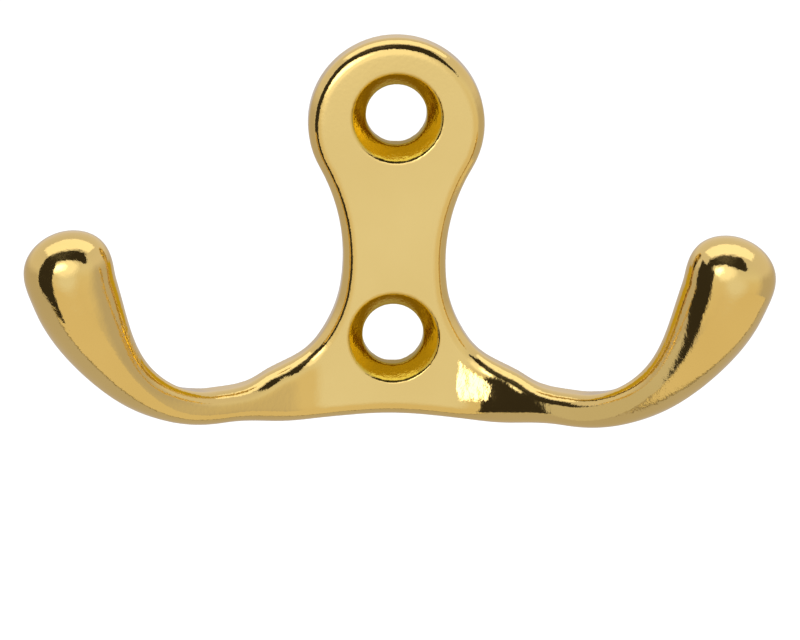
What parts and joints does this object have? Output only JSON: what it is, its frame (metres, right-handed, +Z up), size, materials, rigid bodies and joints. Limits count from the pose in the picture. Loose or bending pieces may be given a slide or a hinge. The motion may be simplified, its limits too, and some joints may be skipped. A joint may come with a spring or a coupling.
{
  "type": "coat hook",
  "caption": "Polished brass wall coat hook: a lobed plate with countersunk screw holes spreads at its foot into arms that bend forward and curl up to rounded bulbs.",
  "frame": {"origin": "on the wall plane, halfway between the two screw holes", "axes": "+X to the viewer's right along the span of the arms, +Y into the wall, +Z up; the arms stand out towards -Y"},
  "size_m": [0.073, 0.0213, 0.0383],
  "materials": {
    "polished_brass": "polished and lacquered, mirror-bright"
  },
  "bodies": {
    "root": {"coat_hook": "polished_brass"}
  },
  "joints": []
}
